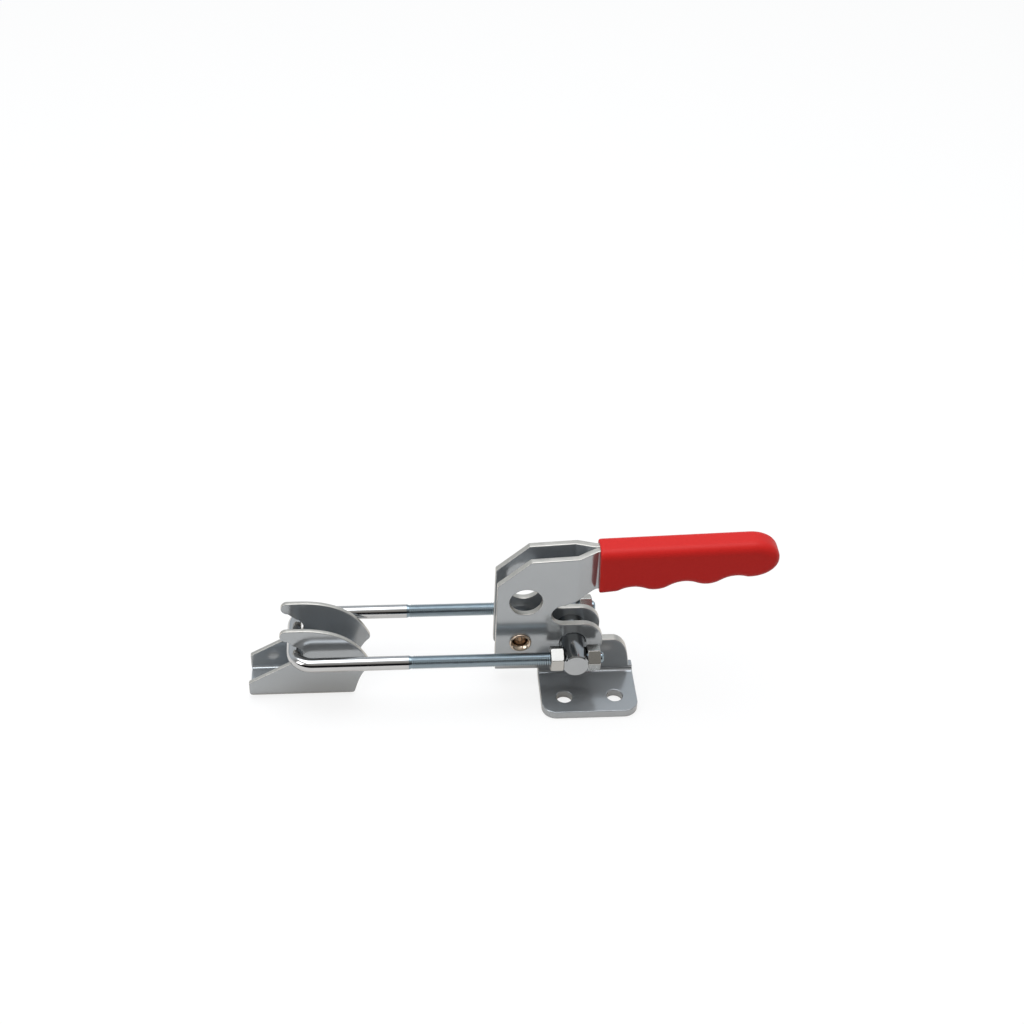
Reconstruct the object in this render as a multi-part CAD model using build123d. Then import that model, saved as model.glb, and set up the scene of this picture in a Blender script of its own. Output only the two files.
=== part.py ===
from build123d import *
import math
import os

os.makedirs("parts", exist_ok=True)

# Sizes are in millimetres.
# X runs along the latch towards the grip, Z is up, and the drawing is symmetric about Y = 0,
# apart from the base, whose one mounting flange points to -Y.
# At the end everything is moved so that the origin is midway between the two base holes.

# Base bracket
base_thickness = 4.0
base_bend_radius = 2.0
flange_front = 21.7
flange_back = 21.3
flange_depth = 28.3
flange_corner_radius = 6.5
base_hole_radius = 3.5
base_hole_pitch = 22.6
base_hole_row = 18.6
wall_front_reach = 10.4
wall_tail_height = 22.4
wall_tail_flat = 12.0
wall_foot_inset = 1.8

# Pivot of the handle in the base
pivot_x = -31.0
pivot_z = 27.1
bush_radius = 5.0
rivet_radius = 3.5
rivet_bore_radius = 2.7
rivet_head_radius = 4.9
rivet_head_height = 1.1
washer_radius = 9.0
running_clearance = 0.05
seat_clearance = 0.02
side_clearance = 0.1

# Crank from the pivot to the trunnion
crank_length = 23.4
over_centre_deg = 2.8
trunnion_radius = 5.8
trunnion_collar_radius = 7.2
trunnion_end_reach = 5.4
trunnion_edge_chamfer = 0.5
swing_clearance = 0.6

# Handle plates
plate_thickness = 3.0
plate_gap = 7.7
plate_front_reach = 11.1
plate_foot_reach = 11.4
plate_foot_radius = 4.0
plate_shoulder_z = 59.9
plate_brow_x = -27.9
plate_top_z = 73.1
plate_top_rise = 1.2
plate_hole_radius = 7.2
plate_hole_x = -29.3
plate_hole_z = 50.5
lobe_reach = 13.2
lobe_top_rise = 10.9
lobe_corner_radius = 9.5
notch_radius = 5.6
notch_x = -12.1
joggle_start_x = -7.4
joggle_end_x = 0.8
joggle_radius = 3.0
tang_gap = 0.1

# Grip
grip_start_x = 1.8
grip_length = 78.5
grip_rise_deg = 2.0
grip_top_z = 76.9
grip_mouth_height = 24.2
grip_end_height = 19.0
grip_end_length = 12.5
grip_half_width = 6.6
grip_edge_radius = 4.0
finger_count = 3
finger_depth = 3.0
finger_start = 14.0
finger_end_margin = 1.15
grip_wall = 1.4
tang_end_margin = 20.5
tang_end_height = 11.0
grip_clearance = 0.05

# Hook bolt
rod_radius = 3.1
thread_radius = 2.75
leg_half_spacing = 16.6
hook_reach = 123.0
hook_bend_radius = 8.5
plain_length = 50.0
thread_end_reach = 12.6
leg_hole_clearance = 0.25
leg_end_chamfer = 0.8

# Nuts
nut_flats = 10.0
nut_height = 5.6
nut_seat_depth = 0.5

# Keeper
keeper_thickness = 2.2
keeper_bend_radius = 1.5
keeper_half_width = 10.0
keeper_front_reach = 20.4
keeper_nose_height = 9.1
keeper_floor_length = 46.0
keeper_fin_reach = 5.7
keeper_fin_depth = 6.04
keeper_fin_flat = 2.6
keeper_tail_reach = 33.9
keeper_tail_height = 18.4
keeper_tip_radius = 2.6
keeper_corner_radius = 3.5
throat_clearance = 0.3
throat_play = 0.5
throat_rise = 1.2
throat_drop = 1.2
keeper_lip_rise = 3.0
keeper_hole_radius = 2.75
keeper_hole_pitch = 22.0
keeper_hole_inset = 9.5

# Places that follow from the sizes above
over_centre = math.radians(over_centre_deg)
trunnion_x = pivot_x + crank_length * math.cos(over_centre)
trunnion_z = pivot_z - crank_length * math.sin(over_centre)
plate_inner = plate_gap / 2
plate_outer = plate_inner + plate_thickness
base_half = base_thickness / 2
bend_top = base_thickness + base_bend_radius
rod_x = trunnion_x - hook_reach
keeper_x = rod_x - keeper_front_reach
finger_run = grip_length - grip_end_length - finger_end_margin - finger_start
finger_pitch = finger_run / (finger_count - 0.75)
tang_length = grip_length - tang_end_margin
trunnion_half_length = leg_half_spacing + trunnion_end_reach
leg_hole_radius = thread_radius + leg_hole_clearance
far = 300.0


def side_prism(outline, y_from, y_to):
    # An outline drawn in X and Z, given depth from y_from to y_to
    face = Plane.XZ.offset(-y_from) * outline
    return extrude(face, amount=-(y_to - y_from))


def disc(radius, x, z):
    return Pos(x, z) * Circle(radius)


def cross_pin(radius, x, z, y_from, y_to):
    return side_prism(disc(radius, x, z), y_from, y_to)


def save(shape, name):
    export_step(Pos(0, base_hole_row, 0) * shape, "parts/" + name + ".step")


def wall_outline():
    # The base's upright wall: a round ear at the pivot and a low tail behind the trunnion
    front_x = pivot_x - wall_front_reach
    ear_back = pivot_x + wall_front_reach
    tail_top = (wall_tail_flat, wall_tail_height)
    tail_foot = (flange_back - wall_foot_inset, bend_top)
    with BuildSketch() as sketch:
        with BuildLine():
            Line((flange_back, 0), (-flange_front, 0))
            Line((-flange_front, 0), (-flange_front, bend_top))
            Line((-flange_front, bend_top), (front_x, bend_top))
            Line((front_x, bend_top), (front_x, pivot_z))
            ThreePointArc((front_x, pivot_z), (pivot_x, pivot_z + wall_front_reach), (ear_back, pivot_z))
            Line((ear_back, pivot_z), (trunnion_x, trunnion_z))
            Line((trunnion_x, trunnion_z), (trunnion_x, wall_tail_height))
            Line((trunnion_x, wall_tail_height), tail_top)
            Spline(tail_top, tail_foot, tangents=[(1, -0.3), (0.1, -1)])
            Line(tail_foot, (flange_back, bend_top))
            Line((flange_back, bend_top), (flange_back, 0))
        make_face()
    return sketch.sketch


def swing_outline():
    # What the trunnion's collar sweeps as the handle opens, with its clearance
    reach = trunnion_collar_radius + swing_clearance
    ring = disc(crank_length + reach, pivot_x, pivot_z) - disc(crank_length - reach, pivot_x, pivot_z)
    upper_half = Pos(pivot_x, pivot_z) * (Rot(0, 0, -over_centre_deg) * (Pos(0, far / 2) * Rectangle(far, far)))
    return (ring & upper_half) + disc(reach, trunnion_x, trunnion_z)


def make_base():
    bend_middle = base_bend_radius + base_half
    path = FilletPolyline((0, far), (0, base_half), (-flange_depth, base_half), radius=bend_middle)
    section = Plane.YZ.offset(-far / 2) * trace(path, base_thickness)
    sheet = extrude(section, amount=far)
    with BuildSketch() as plan:
        Polygon(
            (flange_back, base_half),
            (-flange_front, base_half),
            (-flange_front, -flange_depth),
            (flange_back, -flange_depth),
            align=None,
        )
        fillet(plan.vertices().group_by(Axis.Y)[0], flange_corner_radius)
    blank = side_prism(wall_outline(), -base_half, base_half) + extrude(plan.sketch, amount=bend_top)
    body = sheet & blank
    body -= side_prism(swing_outline(), -base_half, base_half)
    body -= cross_pin(bush_radius + running_clearance, pivot_x, pivot_z, -base_half, base_half)
    for side in (-1, 1):
        hole = Cylinder(base_hole_radius, 4 * base_thickness)
        body -= Pos(side * base_hole_pitch / 2, -base_hole_row) * hole
    return body


def grip_axis_z(x):
    # Height of the grip's top edge above a point on X
    return grip_top_z + (x - grip_start_x) * math.tan(math.radians(grip_rise_deg))


def tang_outline(clearance):
    # The part of a handle plate that goes into the grip
    low, high, end_x, end_high = tang_corners()
    return Polygon(
        (grip_start_x - grip_wall, low - clearance),
        (grip_start_x, low - clearance),
        (end_x + clearance, end_high - tang_end_height - clearance),
        (end_x + clearance, end_high + clearance),
        (grip_start_x, high + clearance),
        (grip_start_x - grip_wall, high + clearance),
        align=None,
    )


def tang_corners():
    end_x = grip_start_x + tang_length
    low = grip_top_z - grip_mouth_height + grip_wall
    return low, grip_top_z - grip_wall, end_x, grip_axis_z(end_x) - grip_wall


def plate_outline():
    # A handle plate seen from the side, from its foot to the end of its tang
    front = pivot_x - plate_front_reach
    foot = pivot_z - plate_foot_reach
    lobe_top = trunnion_z + lobe_top_rise
    lobe_back = trunnion_x + lobe_reach
    lobe_drop = trunnion_z - foot
    notch_z = lobe_top + notch_radius
    arm_low, arm_high, tang_end, tang_top = tang_corners()
    with BuildSketch() as sketch:
        with BuildLine():
            Polyline(
                (lobe_back - lobe_drop, foot),
                (front, foot),
                (front, plate_shoulder_z),
                (plate_brow_x, plate_top_z),
                (joggle_start_x, plate_top_z + plate_top_rise),
                (grip_start_x, arm_high),
                (tang_end, tang_top),
                (tang_end, tang_top - tang_end_height),
                (grip_start_x, arm_low),
            )
            Spline(
                (grip_start_x, arm_low),
                (notch_x, notch_z + notch_radius),
                tangents=[(-1, -0.25), (-1, -0.35)],
            )
            ThreePointArc(
                (notch_x, notch_z + notch_radius),
                (notch_x - notch_radius, notch_z),
                (notch_x, lobe_top),
            )
            Line((notch_x, lobe_top), (lobe_back - lobe_corner_radius, lobe_top))
            TangentArc(
                (lobe_back - lobe_corner_radius, lobe_top),
                (lobe_back, lobe_top - lobe_corner_radius),
                tangent=(1, 0),
            )
            Line((lobe_back, lobe_top - lobe_corner_radius), (lobe_back, trunnion_z))
            TangentArc((lobe_back, trunnion_z), (lobe_back - lobe_drop, foot), tangent=(0, -1))
        make_face()
        fillet(sketch.vertices().sort_by_distance((front, foot))[0], plate_foot_radius)
    return sketch.sketch


def make_plate(side):
    # Flat over the base, then stepped inwards so that the two tangs lie together in the grip
    middle = plate_inner + plate_thickness / 2
    tang_middle = (tang_gap + plate_thickness) / 2
    path = FilletPolyline(
        (-far, middle),
        (joggle_start_x, middle),
        (joggle_end_x, tang_middle),
        (far, tang_middle),
        radius=joggle_radius,
    )
    # The lobe stays flat: the notch above it frees the arm for the step
    split_z = trunnion_z + lobe_top_rise + notch_radius
    strip = Pos(0, 0, split_z) * extrude(trace(path, plate_thickness), amount=far)
    arm = strip & side_prism(plate_outline(), 0, plate_outer)
    low_part = Pos(0, 0, split_z - far / 2) * Box(2 * far, 2 * far, far)
    body = arm + (side_prism(plate_outline(), plate_inner, plate_outer) & low_part)
    body -= cross_pin(plate_hole_radius, plate_hole_x, plate_hole_z, 0, plate_outer)
    body -= cross_pin(rivet_radius + seat_clearance, pivot_x, pivot_z, 0, plate_outer)
    body -= cross_pin(trunnion_radius + running_clearance, trunnion_x, trunnion_z, 0, plate_outer)
    if side < 0:
        body = mirror(body, about=Plane.XZ)
    return body


def grip_outline():
    # The grip seen from the side, in its own frame: a straight top, a round end, finger hollows below
    round_x = grip_length - grip_end_length
    fall = (grip_mouth_height - grip_end_height) / round_x
    half_wave = finger_pitch / 2
    wave_start = finger_start - half_wave / 2
    wave_count = 2 * finger_count - 1

    def under(x, lift=0.0):
        return (x, fall * x - grip_mouth_height + lift)

    with BuildSketch() as sketch:
        with BuildLine():
            Line((0, -grip_mouth_height), (0, 0))
            Line((0, 0), (round_x, 0))
            EllipticalCenterArc(
                (round_x, -grip_end_height / 2),
                grip_end_length,
                grip_end_height / 2,
                start_angle=90,
                arc_size=-180,
            )
            Line((round_x, -grip_end_height), under(wave_start + wave_count * half_wave))
            for wave in range(wave_count):
                x = wave_start + wave * half_wave
                lift = finger_depth / 2 * (1 if wave % 2 == 0 else -1)
                ThreePointArc(under(x), under(x + half_wave / 2, lift), under(x + half_wave))
            Line(under(wave_start), (0, -grip_mouth_height))
        make_face()
    return sketch.sketch


def make_grip():
    body = side_prism(grip_outline(), -grip_half_width, grip_half_width)
    rims = []
    for edge in body.edges():
        box = edge.bounding_box()
        if box.size.Y < 0.01 and box.max.X > 0.01:
            rims.append(edge)
    body = fillet(rims, grip_edge_radius)
    body = Pos(grip_start_x, 0, grip_top_z) * (Rot(0, -grip_rise_deg, 0) * body)
    slot_half = tang_gap / 2 + plate_thickness + grip_clearance
    return body - side_prism(tang_outline(grip_clearance), -slot_half, slot_half)


def make_bush():
    half = plate_inner - seat_clearance
    return cross_pin(bush_radius, pivot_x, pivot_z, -half, half) - cross_pin(
        rivet_radius + seat_clearance, pivot_x, pivot_z, -half, half
    )


def make_rivet():
    # A tubular rivet whose two ends are rolled over into rings
    reach = plate_outer + rivet_head_height
    lip = (rivet_head_radius - rivet_bore_radius) / 2
    head_low = plate_outer + seat_clearance
    with BuildSketch() as sketch:
        with BuildLine():
            Polyline(
                (rivet_bore_radius, 0),
                (rivet_radius, 0),
                (rivet_radius, head_low),
                (rivet_head_radius, head_low),
                (rivet_head_radius, head_low + rivet_head_height / 3),
            )
            ThreePointArc(
                (rivet_head_radius, head_low + rivet_head_height / 3),
                (rivet_head_radius - lip * 0.75, reach),
                (rivet_bore_radius + 0.4, reach - rivet_head_height * 0.4),
            )
            Polyline(
                (rivet_bore_radius + 0.4, reach - rivet_head_height * 0.4),
                (rivet_bore_radius, plate_outer),
                (rivet_bore_radius, 0),
            )
        make_face()
    half = revolve(Plane.XY * sketch.sketch, axis=Axis.Y)
    whole = half + mirror(half, about=Plane.XZ)
    return Pos(pivot_x, 0, pivot_z) * whole


def make_washer(side):
    low = base_half + side_clearance
    high = plate_inner - side_clearance
    ring = cross_pin(washer_radius, pivot_x, pivot_z, low, high) - cross_pin(
        bush_radius + running_clearance, pivot_x, pivot_z, low, high
    )
    return ring if side > 0 else mirror(ring, about=Plane.XZ)


def make_trunnion():
    # A turned bar with a collar between the plates, drilled across for the two legs
    bar = cross_pin(trunnion_radius, trunnion_x, trunnion_z, -trunnion_half_length, trunnion_half_length)
    rims = bar.edges().filter_by(GeomType.CIRCLE)
    bar = chamfer(rims, trunnion_edge_chamfer)
    collar_half = plate_inner - side_clearance
    bar += cross_pin(trunnion_collar_radius, trunnion_x, trunnion_z, -collar_half, collar_half)
    for side in (-1, 1):
        hole = Rot(0, 90, 0) * Cylinder(leg_hole_radius, 4 * trunnion_radius)
        bar -= Pos(trunnion_x, side * leg_half_spacing, trunnion_z) * hole
        for way in (-1, 1):
            # Flat seats for the nuts
            seat = Box(nut_seat_depth * 2, nut_flats * 1.3, 4 * trunnion_radius)
            bar -= Pos(trunnion_x + way * trunnion_radius, side * leg_half_spacing, trunnion_z) * seat
    return bar


def make_hook_bolt():
    # One bent rod: plain round the hook, thinner where its two ends are threaded
    reach = leg_half_spacing
    thread_start = rod_x + plain_length
    path = FilletPolyline(
        (thread_start, -reach),
        (rod_x, -reach),
        (rod_x, reach),
        (thread_start, reach),
        radius=hook_bend_radius,
    )
    path = Pos(0, 0, trunnion_z) * path
    start = Plane(origin=(thread_start, -reach, trunnion_z), z_dir=(-1, 0, 0))
    rod = sweep(start * Circle(rod_radius), path=path)
    leg_length = trunnion_x + thread_end_reach - thread_start
    for side in (-1, 1):
        leg = Rot(0, 90, 0) * Cylinder(
            thread_radius, leg_length, align=(Align.CENTER, Align.CENTER, Align.MIN)
        )
        leg = chamfer(leg.edges().sort_by(Axis.X)[-1], leg_end_chamfer)
        rod += Pos(thread_start, side * reach, trunnion_z) * leg
    return rod


def make_nut(side, way):
    # A hexagon nut with its corners turned off, against the trunnion's flat seat
    seat = trunnion_radius - nut_seat_depth + seat_clearance
    corner_radius = nut_flats / math.sqrt(3)
    prism = extrude(RegularPolygon(corner_radius, 6), amount=nut_height)
    blank = Cylinder(corner_radius, nut_height, align=(Align.CENTER, Align.CENTER, Align.MIN))
    blank = chamfer(blank.edges().filter_by(GeomType.CIRCLE), (corner_radius - nut_flats / 2) * 0.6)
    nut = prism & blank
    nut -= Cylinder(thread_radius + seat_clearance, 3 * nut_height)
    place = Location((trunnion_x + way * seat, side * leg_half_spacing, trunnion_z), (0, way * 90, 0))
    return place * nut


def keeper_outline():
    # One wall of the keeper: a low nose, an open throat for the rod and a curved fin above it
    grip_radius = rod_radius + throat_clearance
    throat_low = trunnion_z - rod_radius - throat_drop
    throat_high = trunnion_z + grip_radius + throat_rise
    throat_end = rod_x + throat_play
    fin_x = rod_x - keeper_fin_reach
    lip_z = throat_high + keeper_lip_rise
    fin_top = lip_z + keeper_fin_depth
    fin_middle = (lip_z + fin_top) / 2
    tail_x = rod_x + keeper_tail_reach
    floor_x = keeper_x + keeper_floor_length
    fin_back = rod_x + keeper_fin_flat
    with BuildSketch() as sketch:
        with BuildLine():
            Line((floor_x, 0), (keeper_x, 0))
            Line((keeper_x, 0), (keeper_x, keeper_nose_height))
            Line((keeper_x, keeper_nose_height), (throat_end, throat_low))
            ThreePointArc(
                (throat_end, throat_low),
                (throat_end + grip_radius, (throat_low + throat_high) / 2),
                (throat_end, throat_high),
            )
            Line((throat_end, throat_high), (fin_x + keeper_lip_rise, lip_z))
            ThreePointArc(
                (fin_x + keeper_lip_rise, lip_z),
                (fin_x, fin_middle),
                (fin_x + keeper_lip_rise, fin_top),
            )
            Line((fin_x + keeper_lip_rise, fin_top), (fin_back, fin_top))
            Spline(
                (fin_back, fin_top),
                (tail_x, keeper_tail_height),
                tangents=[(1, 0), (0.35, -1)],
            )
            Spline(
                (tail_x, keeper_tail_height),
                (floor_x, 0),
                tangents=[(-1, -0.75), (-0.25, -1)],
            )
        make_face()
        for corner in ((keeper_x, 0), (floor_x, 0)):
            fillet(sketch.vertices().sort_by_distance(corner)[0], keeper_corner_radius)
        fillet(sketch.vertices().sort_by_distance((tail_x, keeper_tail_height))[0], keeper_tip_radius)
    return sketch.sketch


def make_keeper():
    middle = keeper_half_width - keeper_thickness / 2
    path = FilletPolyline(
        (-middle, far),
        (-middle, keeper_thickness / 2),
        (middle, keeper_thickness / 2),
        (middle, far),
        radius=keeper_bend_radius + keeper_thickness / 2,
    )
    section = Plane.YZ.offset(-far) * trace(path, keeper_thickness)
    body = extrude(section, amount=2 * far) & side_prism(keeper_outline(), -keeper_half_width, keeper_half_width)
    for step in (0, 1):
        hole_x = keeper_x + keeper_hole_inset + step * keeper_hole_pitch
        body -= Pos(hole_x, 0) * Cylinder(keeper_hole_radius, 4 * keeper_thickness)
    return body


save(make_base(), "base_bracket")
save(make_bush(), "pivot_bush")
save(make_rivet(), "pivot_rivet")
save(make_grip(), "handle_grip")
save(make_trunnion(), "trunnion")
save(make_hook_bolt(), "hook_bolt")
save(make_keeper(), "keeper")
for side, word in ((-1, "near"), (1, "far")):
    save(make_washer(side), "pivot_washer_" + word)
    save(make_plate(side), "handle_plate_" + word)
    save(make_nut(side, -1), "front_nut_" + word)
    save(make_nut(side, 1), "rear_nut_" + word)
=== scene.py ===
import bpy
import math
from mathutils import Matrix, Vector


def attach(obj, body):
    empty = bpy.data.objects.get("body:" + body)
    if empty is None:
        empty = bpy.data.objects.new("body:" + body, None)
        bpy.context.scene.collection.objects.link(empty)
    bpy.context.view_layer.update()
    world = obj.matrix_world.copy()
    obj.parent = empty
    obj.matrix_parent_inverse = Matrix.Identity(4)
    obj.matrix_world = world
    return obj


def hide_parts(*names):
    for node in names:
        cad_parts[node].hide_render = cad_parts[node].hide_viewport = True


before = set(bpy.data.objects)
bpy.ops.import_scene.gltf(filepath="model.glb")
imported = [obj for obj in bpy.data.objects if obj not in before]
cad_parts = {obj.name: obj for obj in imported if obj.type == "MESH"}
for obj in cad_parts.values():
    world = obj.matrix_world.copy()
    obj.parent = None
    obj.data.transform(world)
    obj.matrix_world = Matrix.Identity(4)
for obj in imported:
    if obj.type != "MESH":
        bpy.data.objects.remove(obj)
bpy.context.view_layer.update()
mm = 0.001

# The latch lies closed on a white table and is seen from above its near side

cameraView = {
    "azimuthDeg": 6.1,        # turned a little towards the grip
    "elevationDeg": 39.14,
    "rollDeg": 2.68,
    "distance": 709 * mm,
    "target": (-36.66 * mm, 18.6 * mm, 96.0 * mm),
    "focalPixels": 1689.3,
    "imagePixels": 1024,
    "sensorWidth": 36.0,
    "clipStart": 10 * mm,
}


# Small helpers

def deselectAll():
    if bpy.context.object and bpy.context.object.mode != "OBJECT":
        bpy.ops.object.mode_set(mode="OBJECT")
    bpy.ops.object.select_all(action="DESELECT")


def activate(piece):
    deselectAll()
    piece.select_set(True)
    bpy.context.view_layer.objects.active = piece


def applyModifiers(piece):
    activate(piece)
    for modifier in list(piece.modifiers):
        bpy.ops.object.modifier_apply(modifier=modifier.name)


def hexToLinear(code):
    channels = [int(code[i:i + 2], 16) / 255 for i in (1, 3, 5)]
    return [c / 12.92 if c <= 0.04045 else ((c + 0.055) / 1.055) ** 2.4 for c in channels] + [1.0]


def addNode(tree, kind, settings=None, inputs=None, links=None):
    # Adds one node: its settings, its socket values, and the sockets that feed it
    node = tree.nodes.new(kind)
    for name, value in (settings or {}).items():
        setattr(node, name, value)
    for name, value in (inputs or {}).items():
        node.inputs[name].default_value = value
    for name, source in (links or {}).items():
        tree.links.new(source, node.inputs[name])
    return node


def newMaterial(name):
    material = bpy.data.materials.new(name)
    material.use_nodes = True
    material.node_tree.nodes.clear()
    return material, material.node_tree


def finishMaterial(tree, shader):
    addNode(tree, "ShaderNodeOutputMaterial", links={"Surface": shader.outputs[0]})


# Materials. A noise pattern's scale is one over the size of its patches.

firstColour, secondColour, mixedColour = 6, 7, 2      # the sockets of a Mix node set to colours

sheetLook = {
    "lowTone": "#a2a7ab",
    "highTone": "#aeb2b5",
    "metallic": 0.64,              # the passivated film scatters some of the light
    "roughness": (0.14, 0.19),
    "cloudSize": 22.2 * mm,        # the patches that the plating bath leaves
    "grainSize": 0.625 * mm,       # the rolling grain, drawn ten times as coarse, so that it shows
    "grainHeight": 0.05 * mm,
    "grainStrength": 0.03,
}

vinylLook = {
    "lowTone": "#be1c19",
    "highTone": "#c8231f",
    "roughness": 0.46,
    "ior": 1.5,
    "specular": 0.18,
    "skinSize": 1.11 * mm,         # the faint orange peel of a dipped skin
    "skinHeight": 0.2 * mm,
    "skinStrength": 0.05,
}


def zincSheet():
    # Cold rolled sheet under blue passivated zinc: a soft mirror that carries the rod's image,
    # with a faint cloud in the plating and a cold tint where one face mirrors another
    look = sheetLook
    low, high = hexToLinear(look["lowTone"]), hexToLinear(look["highTone"])
    smooth, dull = look["roughness"]
    material, tree = newMaterial("blue passivated zinc sheet")
    place = addNode(tree, "ShaderNodeTexCoord")
    cloud = addNode(tree, "ShaderNodeTexNoise",
                    inputs={"Scale": 1 / look["cloudSize"], "Detail": 3.0},
                    links={"Vector": place.outputs["Object"]})
    grain = addNode(tree, "ShaderNodeTexNoise",
                    inputs={"Scale": 1 / look["grainSize"], "Detail": 2.0},
                    links={"Vector": place.outputs["Object"]})
    colour = addNode(tree, "ShaderNodeMix", {"data_type": "RGBA"},
                     {firstColour: low, secondColour: high}, {0: cloud.outputs["Fac"]})
    rough = addNode(tree, "ShaderNodeMapRange", inputs={"To Min": smooth, "To Max": dull},
                    links={"Value": cloud.outputs["Fac"]})
    bump = addNode(tree, "ShaderNodeBump",
                   inputs={"Strength": look["grainStrength"], "Distance": look["grainHeight"]},
                   links={"Height": grain.outputs["Fac"]})
    shader = addNode(tree, "ShaderNodeBsdfPrincipled", inputs={"Metallic": look["metallic"]},
                     links={"Base Color": colour.outputs[mixedColour],
                            "Roughness": rough.outputs[0], "Normal": bump.outputs[0]})
    finishMaterial(tree, shader)
    return material


def brightMetal(name, lowTone, highTone, roughness, cloudSize=6.67 * mm):
    # Steel under bright zinc: bare metal gloss. Patches of film, about as wide as the rod, shift
    # the colour and the roughness a little.
    spread = 0.2
    smooth, dull = roughness * (1 - spread), roughness * (1 + spread)
    material, tree = newMaterial(name)
    place = addNode(tree, "ShaderNodeTexCoord")
    cloud = addNode(tree, "ShaderNodeTexNoise", inputs={"Scale": 1 / cloudSize, "Detail": 2.0},
                    links={"Vector": place.outputs["Object"]})
    colour = addNode(tree, "ShaderNodeMix", {"data_type": "RGBA"},
                     {firstColour: hexToLinear(lowTone), secondColour: hexToLinear(highTone)},
                     {0: cloud.outputs["Fac"]})
    rough = addNode(tree, "ShaderNodeMapRange", inputs={"To Min": smooth, "To Max": dull},
                    links={"Value": cloud.outputs["Fac"]})
    shader = addNode(tree, "ShaderNodeBsdfPrincipled", inputs={"Metallic": 1.0},
                     links={"Base Color": colour.outputs[mixedColour],
                            "Roughness": rough.outputs[0]})
    finishMaterial(tree, shader)
    return material


def redVinyl():
    # Soft PVC dipped over the handle: even red, satin gloss, a skin that is never quite flat
    look = vinylLook
    low, high = hexToLinear(look["lowTone"]), hexToLinear(look["highTone"])
    material, tree = newMaterial("dip moulded red vinyl")
    place = addNode(tree, "ShaderNodeTexCoord")
    skin = addNode(tree, "ShaderNodeTexNoise",
                   inputs={"Scale": 1 / look["skinSize"], "Detail": 3.0},
                   links={"Vector": place.outputs["Object"]})
    colour = addNode(tree, "ShaderNodeMix", {"data_type": "RGBA"},
                     {firstColour: low, secondColour: high}, {0: skin.outputs["Fac"]})
    bump = addNode(tree, "ShaderNodeBump",
                   inputs={"Strength": look["skinStrength"], "Distance": look["skinHeight"]},
                   links={"Height": skin.outputs["Fac"]})
    shader = addNode(tree, "ShaderNodeBsdfPrincipled",
                     inputs={"Roughness": look["roughness"], "IOR": look["ior"],
                             "Specular IOR Level": look["specular"]},
                     links={"Base Color": colour.outputs[mixedColour], "Normal": bump.outputs[0]})
    finishMaterial(tree, shader)
    return material


def assign(piece, material):
    piece.data.materials.clear()
    piece.data.materials.append(material)


sheetMaterial = zincSheet()
rodMaterial = brightMetal("polished zinc rod", "#b3b4b5", "#bebebe", 0.055)      # a clear mirror
barMaterial = brightMetal("turned zinc bar", "#9a9da0", "#a6a9ab", 0.14)         # dulled by turning
threadMaterial = brightMetal("rolled zinc thread", "#7d8b94", "#8b989f", 0.22)   # the bluest film
nutMaterial = brightMetal("zinc plated nut", "#a8a7a4", "#b4b3af", 0.26)         # tumbled to satin
# Torn metal: rough, and paler than the faces as a painted highlight of the light that the cut edges
# catch, in patches about as wide as the sheet is thick
cutEdgeAndHighlightMaterial = brightMetal("punched sheet edge with painted highlight", "#b3b0aa", "#c6c3bd", 0.4, 2.5 * mm)
# One warm tone over the whole ring, varied in patches
ringMaterial = brightMetal("copper tinted ring", "#ad9683", "#d2c4b4", 0.15)     # a warm rolled lip
gripMaterial = redVinyl()

nodeFinish = {
    "base_bracket": sheetMaterial, "keeper": sheetMaterial,
    "handle_plate_near": sheetMaterial, "handle_plate_far": sheetMaterial,
    "handle_grip": gripMaterial, "pivot_rivet": ringMaterial, "pivot_bush": ringMaterial,
    "pivot_washer_near": sheetMaterial, "pivot_washer_far": sheetMaterial,
    "trunnion": rodMaterial, "hook_bolt": rodMaterial,
    "front_nut_near": nutMaterial, "front_nut_far": nutMaterial,
    "rear_nut_near": nutMaterial, "rear_nut_far": nutMaterial,
}
for nodeName, material in nodeFinish.items():
    assign(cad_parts[nodeName], material)
print("materials on", len(nodeFinish), "nodes")


# Tools for the pieces

solidCopy = {
    "mergeDistance": 0.004 * mm,
    "flatDeg": 0.6,           # faces that meet flatter than this become one
    "bevelSegments": 2,
    "flatFaceWeight": 80,
}


def copySolid(nodeName, pieceName):
    # A copy of a CAD solid's mesh, closed up, with its flat faces whole again
    piece = bpy.data.objects.new(pieceName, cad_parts[nodeName].data.copy())
    bpy.context.scene.collection.objects.link(piece)
    activate(piece)
    bpy.ops.object.mode_set(mode="EDIT")
    bpy.ops.mesh.select_all(action="SELECT")
    bpy.ops.mesh.remove_doubles(threshold=solidCopy["mergeDistance"])
    bpy.ops.mesh.customdata_custom_splitnormals_clear()
    bpy.ops.mesh.dissolve_limited(angle_limit=math.radians(solidCopy["flatDeg"]))
    bpy.ops.object.mode_set(mode="OBJECT")
    return piece


def breakEdges(piece, width, creaseDeg):
    # Rounds the sharp edges a little, and lets the flat faces keep their own normals
    bevel = piece.modifiers.new("broken edges", "BEVEL")
    bevel.width = width
    bevel.segments = solidCopy["bevelSegments"]
    bevel.limit_method = "ANGLE"
    bevel.angle_limit = math.radians(creaseDeg)
    bevel.use_clamp_overlap = False
    activate(piece)
    bpy.ops.object.shade_smooth()
    weight = piece.modifiers.new("flat faces lead", "WEIGHTED_NORMAL")
    weight.mode = "FACE_AREA"
    weight.weight = solidCopy["flatFaceWeight"]
    applyModifiers(piece)


def addPoint(name, place):
    # A mesh of one point, ready to be extruded into a profile
    deselectAll()
    bpy.ops.mesh.primitive_plane_add(size=1 * mm, location=(0, 0, 0))
    piece = bpy.context.object
    piece.name = name
    bpy.ops.object.mode_set(mode="EDIT")
    bpy.ops.mesh.select_all(action="SELECT")
    bpy.ops.mesh.merge(type="CENTER")
    bpy.ops.transform.translate(value=place)
    return piece


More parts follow.
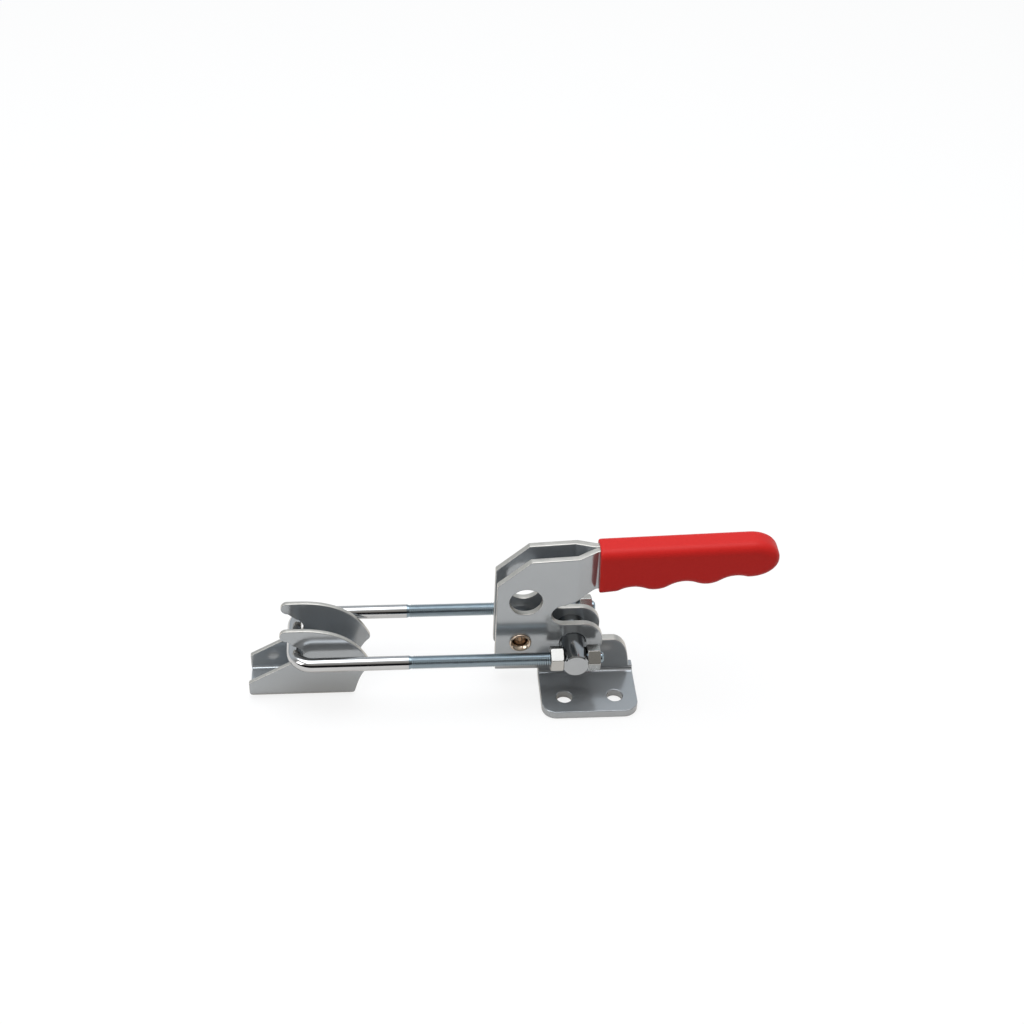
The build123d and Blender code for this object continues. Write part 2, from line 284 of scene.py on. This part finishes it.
def drawProfile(points):
    # Extrudes the selected point along a line of places
    for start, end in zip(points, points[1:]):
        step = Vector(end) - Vector(start)
        bpy.ops.mesh.extrude_region_move(TRANSFORM_OT_translate={"value": step})


def mergeAll(mergeDistance):
    bpy.ops.mesh.select_all(action="SELECT")
    bpy.ops.mesh.remove_doubles(threshold=mergeDistance)
    bpy.ops.mesh.select_all(action="SELECT")


def closeUp(mergeDistance):
    mergeAll(mergeDistance)
    bpy.ops.mesh.normals_make_consistent(inside=False)
    bpy.ops.object.mode_set(mode="OBJECT")


def applyPlace(piece, place):
    # Moves the mesh to its place, and leaves the object at the origin
    piece.location = place
    activate(piece)
    bpy.ops.object.transform_apply(location=True, rotation=True, scale=True)


def finishPiece(piece, body, slot, *nodes):
    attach(piece, body)
    if nodes:
        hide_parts(*nodes)


# Punched sheet: the faces keep the rolled finish, the cut edges show the torn metal, made paler as
# a painted highlight

sheetForm = {
    "edgeBreak": 0.45 * mm,
    "creaseDeg": 32,
    "keeperBendTop": 4.2 * mm,     # below this, the keeper's faces along its length are bends
    "baseBendTop": 6.4 * mm,
    "edgeTilt": 0.03,              # a cut face's normal leans this little out of the sheet's plane
    "armEdgeTilt": 0.2,            # more in the arms, whose necks are stepped inwards
}


# Each of these three tells from a face's normal and centre whether it is a cut edge

def isArmCut(normal, center):
    return abs(normal.y) < sheetForm["armEdgeTilt"]


# The paler edge tone, a painted highlight, goes only on the base's cut edges above the bend; the
# flange's cut ends, in shade near the table, keep the sheet's tone
def isBaseCut(normal, center):
    return abs(normal.y) < sheetForm["edgeTilt"] and center.z > sheetForm["baseBendTop"]


def isKeeperCut(normal, center):
    if abs(normal.y) > sheetForm["edgeTilt"]:
        return False
    return abs(normal.x) > sheetForm["edgeTilt"] or center.z > sheetForm["keeperBendTop"]


def makeSheetPiece(nodeName, pieceName, body, isCut):
    piece = copySolid(nodeName, pieceName)
    assign(piece, sheetMaterial)
    # The cut edges get the torn metal, paler as a painted highlight
    piece.data.materials.append(cutEdgeAndHighlightMaterial)
    for polygon in piece.data.polygons:
        polygon.material_index = 1 if isCut(polygon.normal, polygon.center) else 0
    breakEdges(piece, sheetForm["edgeBreak"], sheetForm["creaseDeg"])
    finishPiece(piece, body, "sheet", nodeName)


makeSheetPiece("base_bracket", "base-plate", "base", isBaseCut)
makeSheetPiece("keeper", "keeper-channel", "base", isKeeperCut)
makeSheetPiece("handle_plate_near", "near-arm", "handle", isArmCut)
makeSheetPiece("handle_plate_far", "far-arm", "handle", isArmCut)
print("sheet pieces")


# Turned and cold headed parts

hardware = {
    "nutTurnDeg": {
        "front_nut_near": 2, "front_nut_far": 8,
        "rear_nut_near": -17, "rear_nut_far": -9,
    },
    "nutEdgeBreak": 0.18 * mm,
    "creaseDeg": 25,
}


def turnNut(nut, degrees):
    # Turns a nut about its own leg
    sides = zip(*(vertex.co for vertex in nut.data.vertices))
    middle = [(min(side) + max(side)) / 2 for side in sides]
    activate(nut)
    bpy.ops.object.mode_set(mode="EDIT")
    bpy.ops.mesh.select_all(action="SELECT")
    bpy.ops.transform.rotate(value=math.radians(degrees), orient_axis="X", center_override=middle)
    bpy.ops.object.mode_set(mode="OBJECT")


def makeNuts():
    for nodeName, degrees in hardware["nutTurnDeg"].items():
        nut = copySolid(nodeName, nodeName.replace("_", "-"))
        assign(nut, nutMaterial)
        turnNut(nut, degrees)
        breakEdges(nut, hardware["nutEdgeBreak"], hardware["creaseDeg"])
        finishPiece(nut, "hook", "nut", nodeName)


def makeCrossBar():
    bar = copySolid("trunnion", "cross-bar")
    assign(bar, barMaterial)
    activate(bar)
    bpy.ops.object.shade_smooth_by_angle(angle=math.radians(hardware["creaseDeg"]))
    finishPiece(bar, "hook", "rod", "trunnion")


makeNuts()
makeCrossBar()
print("nuts and cross bar")


# Bent rod with its two rolled threads

linkage = {
    "middleY": 18.6 * mm,
    "pivotX": -31.0 * mm,
    "pivotZ": 27.1 * mm,
    "crank": 23.4 * mm,
    "overCentreDeg": 2.8,
}
lineY = linkage["middleY"]
pivot = Vector((linkage["pivotX"], lineY, linkage["pivotZ"]))
overCentre = math.radians(linkage["overCentreDeg"])
crossBar = pivot + linkage["crank"] * Vector((math.cos(overCentre), 0, -math.sin(overCentre)))

rodForm = {
    "plainRadius": 3.1 * mm,
    "thinRadius": 2.68 * mm,
    "legSpacing": 16.6 * mm,      # from the middle line to a leg
    "hookReach": 123.0 * mm,      # from the cross bar to the closed end
    "bendRadius": 8.5 * mm,
    "plainLength": 50.0 * mm,
    "stepLength": 1.2 * mm,       # the taper from plain to thin
    "tintStart": 0.2 * mm,        # how far into the taper the blue film begins
    "endReach": 12.6 * mm,        # from the cross bar to a leg's end
    "endChamfer": 0.8 * mm,
    "roundSteps": 40,
    "bendSteps": 18,
    "creaseDeg": 30,
    "mergeDistance": 0.001 * mm,
}

threadForm = {
    "pitch": 1.0 * mm,
    "rootRadius": 2.66 * mm,      # just under the leg's own surface
    "shoulderRadius": 2.92 * mm,
    "crestRadius": 2.95 * mm,
    "steps": 20,
    "creaseDeg": 40,
    "turnMerge": 0.002 * mm,      # joins each turn of the screw to the next
    "mergeDistance": 0.001 * mm,
}


def makeRod():
    form = rodForm
    thin, plain, step = form["thinRadius"], form["plainRadius"], form["stepLength"]
    endRadius = thin - form["endChamfer"]
    closedX = crossBar.x - form["hookReach"]
    thinX = closedX + form["plainLength"]
    tipX = crossBar.x + form["endReach"]
    startX = tipX - form["endChamfer"]
    nearY, farY = lineY - form["legSpacing"], lineY + form["legSpacing"]
    bendX = closedX + form["bendRadius"]
    deselectAll()
    bpy.ops.mesh.primitive_circle_add(
        vertices=form["roundSteps"], radius=endRadius, fill_type="NGON",
        location=(tipX, nearY, crossBar.z), rotation=(0, math.radians(90), 0))
    rod = bpy.context.object
    rod.name = "hook-rod"
    bpy.ops.object.transform_apply(location=True, rotation=True, scale=True)
    bpy.ops.object.mode_set(mode="EDIT")

    def push(dx, radiusFrom, radiusTo, centre):
        bpy.ops.mesh.extrude_region_move(TRANSFORM_OT_translate={"value": (dx, 0, 0)})
        ratio = radiusTo / radiusFrom
        bpy.ops.transform.resize(value=(1, ratio, ratio), center_override=centre)

    def turnCorner(centreY):
        bpy.ops.mesh.spin(steps=form["bendSteps"], angle=math.radians(90),
                          center=(bendX, centreY, crossBar.z), axis=(0, 0, 1))

    bpy.ops.mesh.select_all(action="SELECT")
    push(startX - tipX, endRadius, thin, (startX, nearY, crossBar.z))
    push(thinX + step - startX, thin, thin, (thinX, nearY, crossBar.z))
    push(-step, thin, plain, (thinX, nearY, crossBar.z))
    push(bendX - thinX, plain, plain, (bendX, nearY, crossBar.z))
    turnCorner(nearY + form["bendRadius"])
    bpy.ops.mesh.extrude_region_move(
        TRANSFORM_OT_translate={"value": (0, 2 * (form["legSpacing"] - form["bendRadius"]), 0)})
    turnCorner(farY - form["bendRadius"])
    push(thinX - bendX, plain, plain, (thinX, farY, crossBar.z))
    push(step, plain, thin, (thinX, farY, crossBar.z))
    push(startX - thinX - step, thin, thin, (startX, farY, crossBar.z))
    push(tipX - startX, thin, endRadius, (tipX, farY, crossBar.z))
    closeUp(form["mergeDistance"])
    assign(rod, rodMaterial)
    rod.data.materials.append(threadMaterial)
    for polygon in rod.data.polygons:
        polygon.material_index = 1 if polygon.center.x > thinX + form["tintStart"] else 0
    activate(rod)
    bpy.ops.object.shade_smooth_by_angle(angle=math.radians(form["creaseDeg"]))
    finishPiece(rod, "hook", "rod", "hook_bolt")
    return thinX + step, startX


def makeThread(name, legY, fromX, toX):
    # One pitch of the ridge, screwed along the leg
    form = threadForm
    pitch, root = form["pitch"], form["rootRadius"]
    shoulder, crest = form["shoulderRadius"], form["crestRadius"]
    ridge = ((0, root), (0.3, shoulder), (0.38, crest), (0.5, crest), (0.58, shoulder),
             (0.88, root), (1, root))
    profile = [(share * pitch, 0, radius) for share, radius in ridge]
    thread = addPoint(name, profile[0])
    drawProfile(profile)
    bpy.ops.object.mode_set(mode="OBJECT")
    screw = thread.modifiers.new("rolled thread", "SCREW")
    screw.axis = "X"
    screw.angle = math.radians(360)
    screw.screw_offset = pitch
    screw.iterations = int((toX - fromX) / pitch) - 1
    screw.steps = screw.render_steps = form["steps"]
    applyModifiers(thread)
    bpy.ops.object.mode_set(mode="EDIT")
    mergeAll(form["turnMerge"])
    bpy.ops.mesh.fill_holes(sides=0)
    closeUp(form["mergeDistance"])
    applyPlace(thread, (fromX, legY, crossBar.z))
    bpy.ops.object.shade_smooth_by_angle(angle=math.radians(form["creaseDeg"]))
    assign(thread, threadMaterial)
    finishPiece(thread, "hook", "rod")


legFrom, legTo = makeRod()
makeThread("near-thread", lineY - rodForm["legSpacing"], legFrom, legTo)
makeThread("far-thread", lineY + rodForm["legSpacing"], legFrom, legTo)
print("rod and threads")


# Tubular rivet, rolled over at both ends

rivetForm = {
    "bore": 2.7 * mm,
    "shank": 3.5 * mm,
    "armFace": 6.87 * mm,       # outer face of an arm, from the middle line
    "lip": (                    # radius, and height over the arm's face, in mm
        (3.5, 0.0), (4.8, 0.0), (4.9, 0.25), (4.78, 0.8), (4.47, 1.04), (4.3, 1.1),
        (4.1, 1.0), (3.75, 0.6), (3.2, -0.1), (2.8, -0.9), (2.7, -1.6),
    ),
    "ringSteps": 64,
    "creaseDeg": 40,
    "mergeDistance": 0.001 * mm,
}


def makeRivet():
    form = rivetForm
    lip = [(radius * mm, form["armFace"] + height * mm) for radius, height in form["lip"]]
    section = [(form["shank"], 0.0)] + lip + [(form["bore"], 0.0)]
    back = [(radius, -y) for radius, y in reversed(section)]
    outline = [Vector((radius, y, 0)) for radius, y in section + back[1:]]
    rivet = addPoint("rolled-rivet", outline[0])
    drawProfile(outline + [outline[0]])
    mergeAll(form["mergeDistance"])
    bpy.ops.mesh.spin(steps=form["ringSteps"], angle=math.radians(360),
                      center=(0, 0, 0), axis=(0, 1, 0))
    closeUp(form["mergeDistance"])
    applyPlace(rivet, pivot)
    bpy.ops.object.shade_smooth_by_angle(angle=math.radians(form["creaseDeg"]))
    assign(rivet, ringMaterial)
    finishPiece(rivet, "handle", "rivet", "pivot_rivet")


makeRivet()
print("rivet")


# Soft grip: the solid's shape with the rounded, slightly uneven skin of dipped vinyl

gripForm = {
    "voxel": 0.45 * mm,
    "smoothTurns": 6,
}


def makeGrip():
    grip = copySolid("handle_grip", "vinyl-grip")
    remesh = grip.modifiers.new("even skin", "REMESH")
    remesh.mode = "VOXEL"
    remesh.voxel_size = gripForm["voxel"]
    soften = grip.modifiers.new("soft skin", "CORRECTIVE_SMOOTH")
    soften.use_only_smooth = True
    soften.iterations = gripForm["smoothTurns"]
    applyModifiers(grip)
    activate(grip)
    bpy.ops.object.shade_smooth()
    assign(grip, gripMaterial)
    finishPiece(grip, "handle", "grip", "handle_grip")


makeGrip()
print("grip")


# Stage: white paper, a black flag that only reflections show, the studio room, lamps and camera

floorLook = {
    "width": 12.0,
    "sink": 0.2 * mm,
    "paper": "#f4f4f4",
    "bounce": "#98918a",          # the tone of the light that the paper throws back on the latch
    "glowSeen": "#ffffff",
    "glowMirrored": "#ffeed8",    # a little warm in the metal
    "shareSeen": 0.82,            # the rest keeps the latch's shadow
    "shareMirrored": 0.24,
}

flagForm = {
    "place": (0, -1.25, 0.42),
    "width": 5.0,
    "height": 0.88,
    "tone": "#1c1c1f",
}

# Tones from straight down (0) over the horizon (0.5) to straight up (1)
room = {
    "front": ((0.0, "#e6e6e6"), (0.5, "#e6e6e5"), (0.62, "#d8d7d6"),
              (0.7, "#918e89"), (0.88, "#a8a5a0"), (1.0, "#ffffff")),
    "back": ((0.0, "#e6e6e6"), (0.5, "#e2e6e9"), (0.62, "#cbd4db"),
             (0.75, "#dfe4e8"), (0.88, "#d3d8dc"), (1.0, "#ffffff")),
    "blend": 0.35,                # half the width over which front turns into back
}

lamps = (
    {"name": "ceiling softbox", "place": (-0.1, 0.13, 1.0), "aim": (-0.05, 0, 0.02),
     "size": (1.1, 0.7), "power": 7.5, "tone": "#f6faff"},
    {"name": "left window", "place": (-1.0, -0.5, 0.7), "aim": (0, 0, 0.02),
     "size": (0.5, 0.7), "power": 3.0, "tone": "#ffffff"},
)


def makeFloor():
    look = floorLook
    deselectAll()
    bpy.ops.mesh.primitive_plane_add(size=look["width"], location=(0, 0, -look["sink"]))
    floor = bpy.context.object
    floor.name = "floor"
    material, tree = newMaterial("white paper")
    path = addNode(tree, "ShaderNodeLightPath")
    cameraRay = path.outputs["Is Camera Ray"]
    warmth = addNode(tree, "ShaderNodeMix", {"data_type": "RGBA"},
                     {firstColour: hexToLinear(look["glowMirrored"]),
                      secondColour: hexToLinear(look["glowSeen"])}, {0: cameraRay})
    glow = addNode(tree, "ShaderNodeEmission", inputs={"Strength": 1.0},
                   links={"Color": warmth.outputs[mixedColour]})
    seenOrMirrored = addNode(tree, "ShaderNodeMath", {"operation": "MAXIMUM"},
                             links={0: cameraRay, 1: path.outputs["Is Glossy Ray"]})
    shown = addNode(tree, "ShaderNodeMath", {"operation": "MAXIMUM"},
                    links={0: seenOrMirrored.outputs[0], 1: path.outputs["Is Transmission Ray"]})
    tone = addNode(tree, "ShaderNodeMix", {"data_type": "RGBA"},
                   {firstColour: hexToLinear(look["bounce"]),
                    secondColour: hexToLinear(look["paper"])}, {0: shown.outputs[0]})
    paper = addNode(tree, "ShaderNodeBsdfDiffuse", links={"Color": tone.outputs[mixedColour]})
    mirrored = addNode(tree, "ShaderNodeMath", {"operation": "MULTIPLY"},
                       {1: look["shareMirrored"]}, {0: shown.outputs[0]})
    seen = addNode(tree, "ShaderNodeMath", {"operation": "MULTIPLY"},
                   {1: look["shareSeen"]}, {0: cameraRay})
    share = addNode(tree, "ShaderNodeMath", {"operation": "MAXIMUM"},
                    links={0: mirrored.outputs[0], 1: seen.outputs[0]})
    both = addNode(tree, "ShaderNodeMixShader",
                   links={0: share.outputs[0], 1: paper.outputs[0], 2: glow.outputs[0]})
    finishMaterial(tree, both)
    assign(floor, material)


def makeFlag():
    # The plain rod's dark line is this flag's mirror image
    form = flagForm
    deselectAll()
    bpy.ops.mesh.primitive_plane_add(size=1.0, location=form["place"],
                                     rotation=(math.radians(90), 0, 0))
    flag = bpy.context.object
    flag.name = "black-flag"
    bpy.ops.object.mode_set(mode="EDIT")
    bpy.ops.mesh.select_all(action="SELECT")
    bpy.ops.transform.resize(value=(form["width"], 1.0, form["height"]))
    bpy.ops.object.mode_set(mode="OBJECT")
    flag.visible_camera = False
    flag.visible_diffuse = False
    flag.visible_shadow = False
    material, tree = newMaterial("black cloth")
    cloth = addNode(tree, "ShaderNodeBsdfDiffuse", inputs={"Color": hexToLinear(form["tone"])})
    finishMaterial(tree, cloth)
    assign(flag, material)


def makeWorld():
    # A warm grey wall behind the camera, a cold pale wall at the back, a white ceiling
    world = bpy.data.worlds.new("studio")
    bpy.context.scene.world = world
    world.use_nodes = True
    tree = world.node_tree
    tree.nodes.clear()
    place = addNode(tree, "ShaderNodeTexCoord")
    parts = addNode(tree, "ShaderNodeSeparateXYZ", links={0: place.outputs["Generated"]})
    ramps = []
    for stops in (room["front"], room["back"]):
        height = addNode(tree, "ShaderNodeMapRange", inputs={"From Min": -1.0, "From Max": 1.0},
                         links={"Value": parts.outputs["Z"]})
        ramp = addNode(tree, "ShaderNodeValToRGB", links={0: height.outputs[0]})
        while len(ramp.color_ramp.elements) < len(stops):
            ramp.color_ramp.elements.new(0.5)      # moved to its place below
        for element, (position, code) in zip(ramp.color_ramp.elements, stops):
            element.position = position
            element.color = hexToLinear(code)
        ramps.append(ramp)
    side = addNode(tree, "ShaderNodeMapRange", {"interpolation_type": "SMOOTHSTEP"},
                   {"From Min": -room["blend"], "From Max": room["blend"]},
                   {"Value": parts.outputs["Y"]})
    front, back = (ramp.outputs[0] for ramp in ramps)
    wall = addNode(tree, "ShaderNodeMix", {"data_type": "RGBA"},
                   links={0: side.outputs[0], firstColour: front, secondColour: back})
    light = addNode(tree, "ShaderNodeBackground", inputs={"Strength": 1.0},
                    links={0: wall.outputs[mixedColour]})
    addNode(tree, "ShaderNodeOutputWorld", links={0: light.outputs[0]})


def addLamp(form):
    deselectAll()
    bpy.ops.object.light_add(type="AREA", location=form["place"])
    lamp = bpy.context.object
    lamp.name = form["name"]
    lamp.data.shape = "RECTANGLE"
    lamp.data.size, lamp.data.size_y = form["size"]
    lamp.data.energy = form["power"]
    lamp.data.color = hexToLinear(form["tone"])[:3]
    aim = Vector(form["aim"]) - Vector(form["place"])
    lamp.rotation_euler = aim.to_track_quat("-Z", "Y").to_euler()


def makeCamera():
    view = cameraView
    azimuth, elevation, roll = (math.radians(view[key])
                                for key in ("azimuthDeg", "elevationDeg", "rollDeg"))
    level = math.cos(elevation)
    forward = Vector((math.sin(azimuth) * level, math.cos(azimuth) * level, -math.sin(elevation)))
    right = Vector((math.cos(azimuth), -math.sin(azimuth), 0))
    up = right.cross(forward)
    rolledRight = right * math.cos(roll) + up * math.sin(roll)
    rolledUp = up * math.cos(roll) - right * math.sin(roll)
    deselectAll()
    bpy.ops.object.camera_add()
    camera = bpy.context.object
    camera.name = "camera"
    turn = Matrix((rolledRight, rolledUp, -forward)).transposed().to_4x4()
    eye = Vector(view["target"]) - forward * view["distance"]
    camera.matrix_world = Matrix.Translation(eye) @ turn
    camera.data.sensor_width = view["sensorWidth"]
    camera.data.lens = view["focalPixels"] / view["imagePixels"] * view["sensorWidth"]
    camera.data.clip_start = view["clipStart"]
    bpy.context.scene.camera = camera


makeFloor()
makeFlag()
makeWorld()
for lampForm in lamps:
    addLamp(lampForm)
makeCamera()
bpy.context.scene.view_settings.view_transform = "Standard"
print("stage, light and camera")
